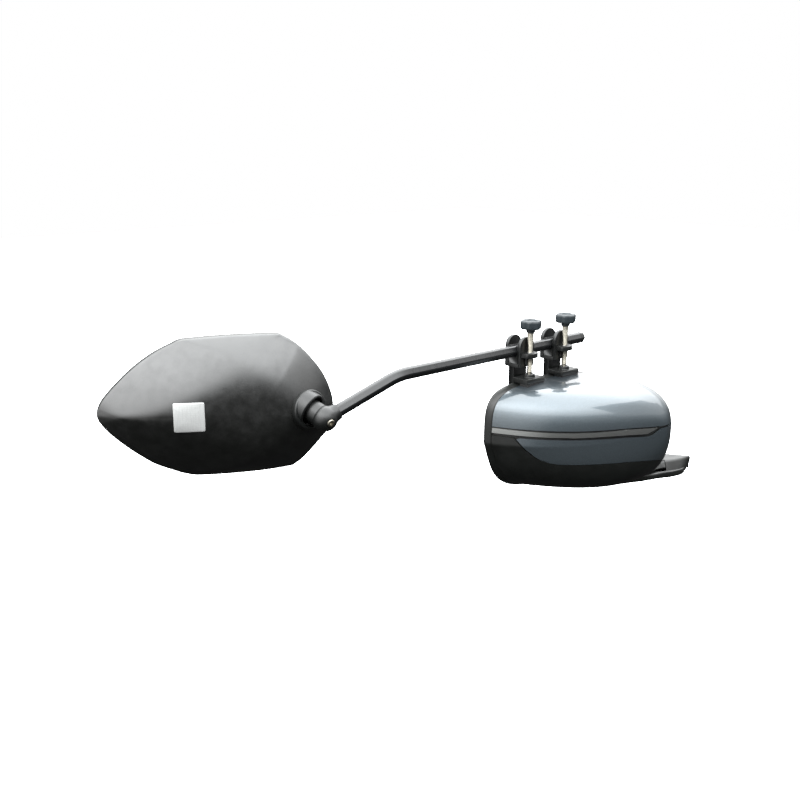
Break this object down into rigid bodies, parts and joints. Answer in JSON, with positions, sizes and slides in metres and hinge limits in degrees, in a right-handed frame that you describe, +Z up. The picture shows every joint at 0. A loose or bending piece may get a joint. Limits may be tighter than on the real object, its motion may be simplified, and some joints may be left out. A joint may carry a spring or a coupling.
{
  "type": "car side mirror",
  "caption": "Car door mirror with painted cap and folding foot, carrying a faceted towing mirror on a bent hexagonal arm held by screw clamps.",
  "frame": {"origin": "centre of the gasket face that seats on the car door", "axes": "+X inboard, out of the door face into the door; +Y to the rear of the car; +Z up"},
  "size_m": [0.7681, 0.3415, 0.2492],
  "materials": {
    "paint": "metallic clear-coated paint",
    "black_satin": "satin moulded",
    "black_matt": "fine matt grain",
    "grey_knob": "moulded, slightly worn",
    "steel": "bright zinc plated",
    "brass": "turned",
    "coated_arm": "satin powder coat",
    "rubber": "matt",
    "nylon": "natural nylon",
    "lens": "clear over a bright reflector",
    "board": "circuit board",
    "mirror": "silvered",
    "reflector": "retroreflective patch",
    "heater": "printed film"
  },
  "bodies": {
    "foot": {"mirror_foot": "black_satin", "door_gasket": "rubber", "door_insert_1": "brass", "door_insert_2": "brass", "door_insert_3": "brass", "detent_ring": "steel", "spring_washer": "steel", "retaining_ring": "steel", "fold_spring": "steel"},
    "housing": {"painted_cap": "paint", "lower_cover_painted": "paint", "indicator_lens": "lens", "lower_cover_black": "black_satin", "rear_bezel": "black_satin", "indicator_carrier": "black_satin", "indicator_board": "board", "housing_frame": "black_matt", "glass_drive": "black_matt", "drive_motor_upper": "steel", "drive_motor_side": "steel", "drive_screw_1": "steel", "drive_screw_2": "steel", "drive_screw_3": "steel", "clamp_body_outer": "black_satin", "clamp_body_inner": "black_satin", "jaw_rubber_outer": "rubber", "jaw_rubber_inner": "rubber", "screw_bush_outer": "brass", "screw_bush_inner": "brass"},
    "gimbal": {"glass_gimbal": "nylon"},
    "glass": {"glass_carrier": "black_matt", "heater_pad": "heater", "mirror_glass": "mirror"},
    "upper_jack": {"jack_upper": "nylon"},
    "side_jack": {"jack_side": "nylon"},
    "arm": {"arm_bar": "coated_arm", "arm_end_cap": "black_satin", "arm_knuckle": "black_satin", "knuckle_screw": "steel", "ball_stud": "steel", "ball_sleeve": "black_satin"},
    "seat": {"ball_seat": "nylon"},
    "cup": {"socket_cup": "black_matt"},
    "head": {"head_shell": "black_matt", "socket_collar": "black_satin", "tow_glass": "mirror", "tow_glass_backing": "black_matt", "reflector": "reflector"},
    "pad_outer": {"pressure_pad_outer": "black_satin", "pad_rubber_outer": "rubber"},
    "screw_outer": {"clamp_screw_outer": "steel", "screw_knob_outer": "grey_knob"},
    "pad_inner": {"pressure_pad_inner": "black_satin", "pad_rubber_inner": "rubber"},
    "screw_inner": {"clamp_screw_inner": "steel", "screw_knob_inner": "grey_knob"}
  },
  "joints": [
    {"name": "mirror_fold", "type": "hinge", "parent": "foot", "child": "housing", "pos_m": [-0.105, 0.014, 0.027], "axis": [0, 0, 1], "range_deg": [-65, 10]},
    {"name": "glass_pan", "type": "hinge", "parent": "housing", "child": "gimbal", "pos_m": [-0.206, 0.0385, 0.072], "axis": [0, 0, 1], "range_deg": [-5, 5]},
    {"name": "glass_tilt", "type": "hinge", "parent": "gimbal", "child": "glass", "pos_m": [-0.206, 0.0385, 0.072], "axis": [1, 0, 0], "range_deg": [-5, 5]},
    {"name": "jack_upper_travel", "type": "slide", "parent": "housing", "child": "upper_jack", "axis": [0, 1, 0], "range_m": [-0.0025, 0.0025]},
    {"name": "jack_side_travel", "type": "slide", "parent": "housing", "child": "side_jack", "axis": [0, 1, 0], "range_m": [-0.0025, 0.0025]},
    {"name": "arm_slide", "type": "slide", "parent": "housing", "child": "arm", "axis": [1, 0, 0], "range_m": [-0.03, 0.05]},
    {"name": "head_pan", "type": "hinge", "parent": "arm", "child": "seat", "pos_m": [-0.5758, 0.11605, 0.1586], "axis": [0, 0, 1], "range_deg": [-6, 6]},
    {"name": "head_tilt", "type": "hinge", "parent": "seat", "child": "cup", "pos_m": [-0.5758, 0.11605, 0.1586], "axis": [0.891, -0.454, 0], "range_deg": [-5, 5]},
    {"name": "head_roll", "type": "hinge", "parent": "cup", "child": "head", "pos_m": [-0.5758, 0.11605, 0.1586], "axis": [-0.454, -0.891, 0], "range_deg": [-5, 5]},
    {"name": "clamp_travel_outer", "type": "slide", "parent": "housing", "child": "pad_outer", "axis": [0, 0, 1], "range_m": [0, 0.006]},
    {"name": "clamp_turn_outer", "type": "hinge", "parent": "pad_outer", "child": "screw_outer", "pos_m": [-0.2632, 0.046, 0.187], "axis": [0, 0, 1], "range_deg": [0, 1440.1]},
    {"name": "clamp_travel_inner", "type": "slide", "parent": "housing", "child": "pad_inner", "axis": [0, 0, 1], "range_m": [0, 0.006]},
    {"name": "clamp_turn_inner", "type": "hinge", "parent": "pad_inner", "child": "screw_inner", "pos_m": [-0.193, 0.046, 0.187], "axis": [0, 0, 1], "range_deg": [0, 1440.1]}
  ],
  "couplings": [
    {"joint": "jack_upper_travel", "follows": "glass_tilt", "m_per_rad": -0.028},
    {"joint": "jack_side_travel", "follows": "glass_pan", "m_per_rad": 0.028},
    {"joint": "clamp_turn_outer", "follows": "clamp_travel_outer", "rad_per_m": 4188.8},
    {"joint": "clamp_turn_inner", "follows": "clamp_travel_inner", "rad_per_m": 4188.8}
  ]
}
